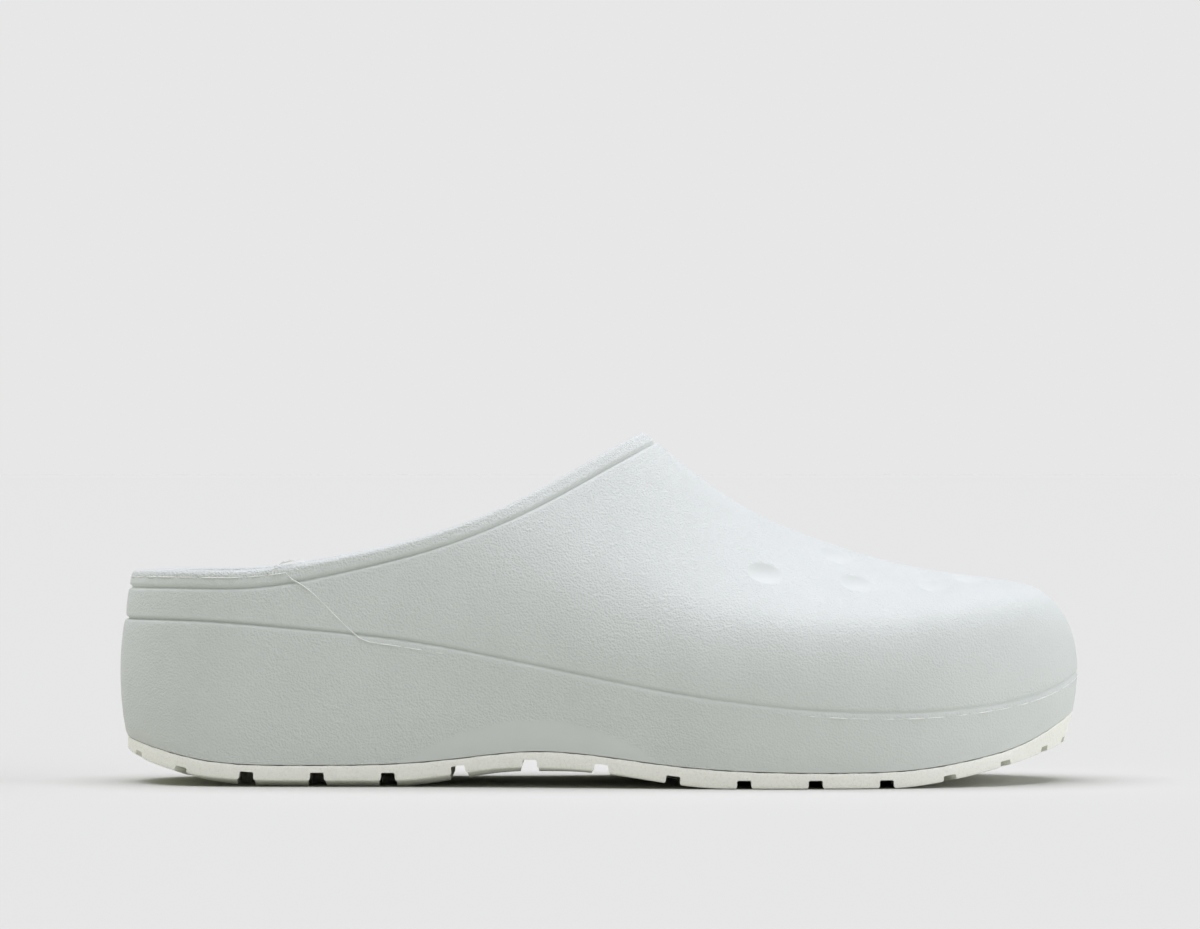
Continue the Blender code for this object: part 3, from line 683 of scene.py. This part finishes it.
def press_dimples(work, grain):
    """Refines the vamp round each dimple and presses a shallow round dimple with a soft lip into it."""
    for half in (LATERAL, MEDIAL):
        for x, share in zip(DIMPLES["x"], DIMPLES["reach"]):
            y = spine_y(x) + share * (np.interp(x, half[:, 0], half[:, 1]) - spine_y(x))
            slope_x = (dome_z(x + STEP, y) - dome_z(x - STEP, y)) / (2 * STEP)
            slope_y = (dome_z(x, y + STEP) - dome_z(x, y - STEP)) / (2 * STEP)
            axis = Vector((-slope_x, -slope_y, 1)).normalized()
            centre = Vector((x, y, dome_z(x, y)))

            def is_near(point):
                away = point - centre
                depth = away.dot(axis)
                return abs(depth) < RIM_WALL / 2 and (away - axis * depth).length < DIMPLE_REACH

            faces = [f for f in work.faces if is_near(f.calc_center_median())]
            edges = {edge for face in faces for edge in face.edges}
            made = bmesh.ops.subdivide_edges(work, edges=list(edges), cuts=DIMPLE_CUTS, use_grid_fill=True)
            verts = {v for f in faces if f.is_valid for v in f.verts}
            verts.update(g for g in made["geom_inner"] if isinstance(g, bmesh.types.BMVert))
            for vertex in verts:
                vertex.co.z = float(dome_z(vertex.co.x, vertex.co.y))
                away = vertex.co - centre
                radius = (away - axis * away.dot(axis)).length
                depth = DIMPLE_DEPTH * (1 - (radius / DIMPLE_RADIUS) ** 2)
                vertex.co -= axis * (depth + math.hypot(depth, DIMPLE_LIP)) / 2
                if radius < DIMPLE_RADIUS:
                    vertex[grain] = 0.0


def add_body(wall, surface):
    rows, grain = body_rows(wall)
    points, faces = skin(rows, BODY_CAP_STRIPS, None, lambda x, share: floor_z(x))
    work = to_bmesh(points, faces)
    layer = work.verts.layers.float.new("grain")
    for vertex, strength in zip(work.verts, grain.ravel()):
        vertex[layer] = strength
    press_dimples(work, layer)
    return add_object("clog_body", work, surface)


def add_flash(name, path, normals, surface, closed, tall, kept):
    """A thin ridge of mould flash along a path on the wall."""
    way = np.roll(path, -1, axis=0) - np.roll(path, 1, axis=0) if closed else np.gradient(path, axis=0)
    across = np.cross(normals, way)
    across /= np.linalg.norm(across, axis=1)[:, None]
    wave = np.arange(len(path))
    uneven = sum(size * np.sin(wave * pace + phase) for size, pace, phase in FLASH_WAVES)
    height = tall * np.clip(kept + uneven, FLASH_LEAST, FLASH_MOST)
    left = path - across * FLASH_HALF - normals * FLASH_SINK
    right = path + across * FLASH_HALF - normals * FLASH_SINK
    top = path + normals * height[:, None]
    rows = np.stack([left, top, right], axis=1)
    count = len(rows)
    index = np.arange(count * 3).reshape(count, 3)
    faces = []
    for k in range(count if closed else count - 1):
        here, there = index[k], index[(k + 1) % count]
        for a, b in ((0, 1), (1, 2), (2, 0)):
            faces.append((here[a], here[b], there[b], there[a]))
    if not closed:
        faces += [tuple(index[0][::-1]), tuple(index[-1])]
    return add_object(name, to_bmesh(rows.reshape(-1, 3), faces), surface)


def add_flashes(wall, surface):
    """The parting line: round the rim at the heel, down the sides and below the groove round the toe."""
    x = wall.foot[:, 0]
    up, kept = (np.interp(x, FLASH["x"], FLASH[column]) for column in ("up", "kept"))
    on_rim = wall.collar - RIM_WALL / 2 - wall.groove
    run = wall.groove + np.where(x < FLASH["x"][0], on_rim, np.minimum(up, on_rim))
    path, normals = on_wall(wall, run[None])
    lateral = np.arange(len(x)) <= RIBS_PER_SIDE
    return [
        add_flash("mould_flash", path[0], normals[0], surface, True, FLASH_HEIGHT, kept),
        add_flash("rim_flash", *rim_flash(wall, lateral), surface, False, RIM_FLASH_HEIGHT, RIM_FLASH_KEPT),
    ]


def rim_flash(wall, side):
    """Path and normals of the thread of flash that arches over the rounded rim on one side."""
    shares = np.linspace(0, len(RIM_FLASH["x"]) - 1, RIM_FLASH_STEPS)
    places = (np.interp(shares, np.arange(len(c)), c) for c in RIM_FLASH.values())
    path, normals = [], []
    for x, below, lift in zip(*places):
        turn = math.asin(1 - min(below, RIM_ROUND) / RIM_ROUND)
        rings = on_wall(wall, wall.collar[None] - below, RIM_ROUND * (1 - math.cos(turn)))
        ring, facing = (columns[0][side] for columns in rings)
        order = np.argsort(ring[:, 0])
        point, out = (
            np.array([np.interp(x, ring[order, 0], column[order]) for column in columns.T])
            for columns in (ring, facing)
        )
        normals.append(out * math.cos(turn) + [0, 0, math.sin(turn)])
        path.append(point + normals[-1] * lift)
    return np.array(path), np.array(normals)


def groove_cutter(start, end, depth):
    """A bar along the sole's underside with a rounded profile, its top a depth above the two points."""
    middle = (start + end) / 2
    way = (end - start).normalized()
    slope = float(tread_z(middle.x + STEP) - tread_z(middle.x - STEP)) / (2 * STEP)
    upward = Vector((-slope, 0, 1))
    upward = (upward - way * upward.dot(way)).normalized()
    side = upward.cross(way)
    flare = (NOTCH_MOUTH - NOTCH_TOP) / 2
    half = [(NOTCH_TOP / 2 - inset, depth - drop) for inset, drop in NOTCH_CORNER]
    for angle in np.linspace(0, math.pi / 2, NOTCH_LIP_STEPS):
        half.append((NOTCH_TOP / 2 + flare * (1 - math.cos(angle)), NOTCH_LIP * (1 - math.sin(angle))))
    half.append((NOTCH_MOUTH / 2 + NOTCH_SPREAD, -NOTCH_BELOW))
    profile = half + [(-w, h) for w, h in half[::-1]]
    work = bmesh.new()
    rings = []
    for point in (start, end):
        rings.append([work.verts.new(point + side * w + upward * h) for w, h in profile])
    count = len(profile)
    for k in range(count):
        work.faces.new([rings[0][k], rings[0][(k + 1) % count], rings[1][(k + 1) % count], rings[1][k]])
    work.faces.new(rings[0])
    work.faces.new(rings[1])
    bmesh.ops.recalc_face_normals(work, faces=work.faces)
    return work


def tread_cutters(seat):
    """Straight grooves across the sole, and notches in from its edge round heel and toe."""
    plan = seat[:, :2]
    normals = outward(plan)
    for number in range(GROOVE_COUNT):
        x = GROOVE_FIRST_X + GROOVE_PITCH * number
        ends = (plan[:, 1].min() - NOTCH_BEYOND, plan[:, 1].max() + NOTCH_BEYOND)
        through = tread_z(x) > THROUGH_RISE
        for span in [ends] if through else [(ends[0], -WEB_HALF), (WEB_HALF, ends[1])]:
            start, end = (Vector((x, y, float(tread_edge_z(x)))) for y in span)
            yield groove_cutter(start, end, GROOVE_CUT)
    for half in halves(plan):
        for x in NOTCH_X:
            edge = np.array([x, np.interp(x, half[:, 0], half[:, 1])])
            normal = normals[np.linalg.norm(plan - edge, axis=1).argmin()]
            inner = edge - normal * NOTCH_LENGTH
            end = Vector((*inner, float(tread_edge_z(inner[0]))))
            mouth = Vector((*edge, float(tread_edge_z(x))))
            start = mouth + (mouth - end).normalized() * NOTCH_BEYOND
            yield groove_cutter(start, end, NOTCH_CUT)


def add_outsole(wall, surface):
    seat = on_wall(wall, np.zeros((1, len(wall.foot))), -pad(wall, 0.0)[0])[0][0]
    points, faces = skin(outsole_rows(seat), SOLE_CAP_STRIPS, None, lambda x, share: tread_z(x))
    sole = add_object("clog_outsole", to_bmesh(points, faces), surface)
    cutters = bpy.data.collections.new("tread_cutters")
    for number, work in enumerate(tread_cutters(seat)):
        made = add_object(f"tread_cutter_{number}", work, None)
        bpy.context.scene.collection.objects.unlink(made)
        cutters.objects.link(made)
    modifier = sole.modifiers.new("grooves", "BOOLEAN")
    modifier.operation = "DIFFERENCE"
    modifier.solver = "EXACT"
    modifier.operand_type = "COLLECTION"
    modifier.collection = cutters
    bpy.context.view_layer.update()
    cut = bpy.data.meshes.new_from_object(sole.evaluated_get(bpy.context.evaluated_depsgraph_get()))
    sole.modifiers.clear()
    sole.data = cut
    cut.shade_smooth()
    cut.set_sharp_from_angle(angle=math.radians(OUTSOLE_SMOOTH_ANGLE))
    for made in list(cutters.objects):
        bpy.data.objects.remove(made)
    bpy.data.collections.remove(cutters)
    return sole


def add_insole(wall, surface):
    rows = insole_rows(wall)
    points, faces = skin(rows, SOLE_CAP_STRIPS, lambda x, share: floor_z(x) + FIT_GAP, insole_top_z)
    return add_object("clog_insole", to_bmesh(points, faces), surface)


class Nodes:
    """Short calls for building a node tree."""

    def __init__(self, tree):
        self.tree = tree

    def add(self, kind, **settings):
        made = self.tree.nodes.new(kind)
        for name, value in settings.items():
            setattr(made, name, value)
        return made

    def link(self, source, target):
        self.tree.links.new(source, target)


def new_material(name, roughness, specular):
    made = bpy.data.materials.new(name)
    made.use_nodes = True
    nodes = Nodes(made.node_tree)
    shader = made.node_tree.nodes["Principled BSDF"]
    shader.inputs["Roughness"].default_value = roughness
    shader.inputs["Specular IOR Level"].default_value = specular
    place = nodes.add("ShaderNodeTexCoord").outputs["Object"]
    return made, nodes, shader, place


def noise(nodes, place, scale, detail=2.0, rough=0.5):
    made = nodes.add("ShaderNodeTexNoise")
    made.inputs["Scale"].default_value = scale
    made.inputs["Detail"].default_value = detail
    made.inputs["Roughness"].default_value = rough
    nodes.link(place, made.inputs["Vector"])
    return made.outputs["Fac"]


def ramp(nodes, value, *stops):
    made = nodes.add("ShaderNodeValToRGB")
    elements = made.color_ramp.elements
    while len(elements) < len(stops):
        elements.new(0.5)
    for element, (position, colour) in zip(elements, stops):
        element.position = position
        element.color = (*colour, 1.0)
    nodes.link(value, made.inputs["Fac"])
    return made.outputs["Color"]


def maths(nodes, operation, first, second):
    made = nodes.add("ShaderNodeMath", operation=operation)
    for value, socket in zip((first, second), made.inputs):
        if isinstance(value, (int, float)):
            socket.default_value = value
        else:
            nodes.link(value, socket)
    return made.outputs[0]


def bump(nodes, shader, height, distance, strength):
    made = nodes.add("ShaderNodeBump")
    made.inputs["Distance"].default_value = distance
    if isinstance(strength, float):
        made.inputs["Strength"].default_value = strength
    else:
        nodes.link(strength, made.inputs["Strength"])
    nodes.link(height, made.inputs["Height"])
    nodes.link(made.outputs["Normal"], shader.inputs["Normal"])


def foam_material():
    """Pale grey moulded foam with a fine pebbled grain that fades out where the mould was smooth."""
    made, nodes, shader, place = new_material("moulded_foam", roughness=0.62, specular=0.35)
    tone = noise(nodes, place, scale=60.0, detail=3.0)
    nodes.link(ramp(nodes, tone, *FOAM_TONES), shader.inputs["Base Color"])
    pebbles = nodes.add("ShaderNodeTexVoronoi", feature="SMOOTH_F1")
    pebbles.inputs["Scale"].default_value = PEBBLE_SCALE
    pebbles.inputs["Smoothness"].default_value = PEBBLE_SMOOTHNESS
    nodes.link(place, pebbles.inputs["Vector"])
    fine = maths(nodes, "MULTIPLY", noise(nodes, place, FINE_SCALE), FINE_SHARE)
    height = maths(nodes, "ADD", pebbles.outputs["Distance"], fine)
    grain = nodes.add("ShaderNodeAttribute", attribute_name="grain")
    strength = maths(nodes, "MULTIPLY", grain.outputs["Fac"], GRAIN_STRENGTH)
    bump(nodes, shader, height, GRAIN_HEIGHT, strength)
    return made


def flash_highlight_material():
    """The same foam without grain, made paler as a painted highlight for the light the thin ridge catches."""
    made, nodes, shader, place = new_material("mould_flash_painted_highlight", roughness=0.5, specular=0.4)
    tone = noise(nodes, place, scale=400.0)
    nodes.link(ramp(nodes, tone, *FLASH_HIGHLIGHT_TONES), shader.inputs["Base Color"])
    return made


def rubber_material():
    """Cream rubber with a rough, speckled skin."""
    made, nodes, shader, place = new_material("cream_rubber", roughness=0.8, specular=0.25)
    specks = noise(nodes, place, scale=1500.0, detail=3.0, rough=0.65)
    nodes.link(ramp(nodes, specks, *RUBBER_TONES), shader.inputs["Base Color"])
    skin_height = noise(nodes, place, scale=1100.0, detail=3.0, rough=0.6)
    bump(nodes, shader, skin_height, distance=0.0003, strength=0.5)
    return made


def footbed_material():
    """Soft matte footbed with a fine felted nap."""
    made, nodes, shader, place = new_material("footbed", roughness=0.85, specular=0.2)
    tone = noise(nodes, place, scale=700.0, detail=4.0, rough=0.6)
    nodes.link(ramp(nodes, tone, *FOOTBED_TONES), shader.inputs["Base Color"])
    nap = noise(nodes, place, scale=1800.0, detail=3.0, rough=0.6)
    bump(nodes, shader, nap, distance=0.0002, strength=0.5)
    return made


def add_floor():
    """A wide, plain, pale floor."""
    work = bmesh.new()
    bmesh.ops.create_grid(work, x_segments=1, y_segments=1, size=FLOOR_SIZE)
    mesh = bpy.data.meshes.new("floor")
    work.to_mesh(mesh)
    work.free()
    made = bpy.data.materials.new("pale_floor")
    made.use_nodes = True
    shader = made.node_tree.nodes["Principled BSDF"]
    shader.inputs["Base Color"].default_value = FLOOR_COLOUR
    shader.inputs["Roughness"].default_value = 1.0
    shader.inputs["Specular IOR Level"].default_value = 0.0
    mesh.materials.append(made)
    floor = bpy.data.objects.new("floor", mesh)
    bpy.context.scene.collection.objects.link(floor)
    floor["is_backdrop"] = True


def add_world():
    """A plain studio: bright round the horizon, dimmer above it."""
    world = bpy.data.worlds.new("studio")
    world.use_nodes = True
    bpy.context.scene.world = world
    nodes = Nodes(world.node_tree)
    way = nodes.add("ShaderNodeTexCoord").outputs["Generated"]
    parts = nodes.add("ShaderNodeSeparateXYZ")
    nodes.link(way, parts.inputs[0])
    colour = ramp(nodes, parts.outputs["Z"], *STUDIO_TONES)
    nodes.link(colour, world.node_tree.nodes["Background"].inputs["Color"])


def add_sun(name, strength, angle, tilt, colour):
    light = bpy.data.lights.new(name, "SUN")
    light.energy = strength
    light.angle = math.radians(angle)
    light.color = colour
    sun = bpy.data.objects.new(name, light)
    sun.rotation_euler = (math.radians(tilt[0]), math.radians(tilt[1]), 0.0)
    bpy.context.scene.collection.objects.link(sun)


def add_camera():
    lens = bpy.data.cameras.new("camera")
    lens.sensor_width = SENSOR_WIDTH
    lens.lens = PIXELS_PER_MM * CAMERA_AWAY / IMAGE_WIDTH * SENSOR_WIDTH
    lens.clip_end = CAMERA_END
    camera = bpy.data.objects.new("camera", lens)
    camera.location = (np.array([CAMERA_X, -CAMERA_AWAY, CAMERA_HEIGHT]) + PLACE) * MM
    camera.rotation_euler = (math.radians(90.0), 0.0, 0.0)
    bpy.context.scene.collection.objects.link(camera)
    bpy.context.scene.camera = camera


def main():
    wall = make_wall(RIBS_PER_SIDE)
    body = add_body(wall, foam_material())
    outsole = add_outsole(wall, rubber_material())
    insole = add_insole(wall, footbed_material())
    for piece, node, slot in (
        (body, "upper_and_midsole", "foam"),
        (outsole, "outsole", "rubber"),
        (insole, "insole", "footbed_foam"),
    ):
        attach(piece, "root")
        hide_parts(node)
    for flash in add_flashes(wall, flash_highlight_material()):
        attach(flash, "root")
    add_floor()
    add_world()
    for name, settings in SUNS.items():
        add_sun(name, **settings)
    add_camera()
    bpy.context.scene.view_settings.view_transform = "Standard"


main()
boxes = {"cad": CAD_BOX, "visual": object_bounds()}
{name: [list(corner) for corner in box] for name, box in boxes.items()}
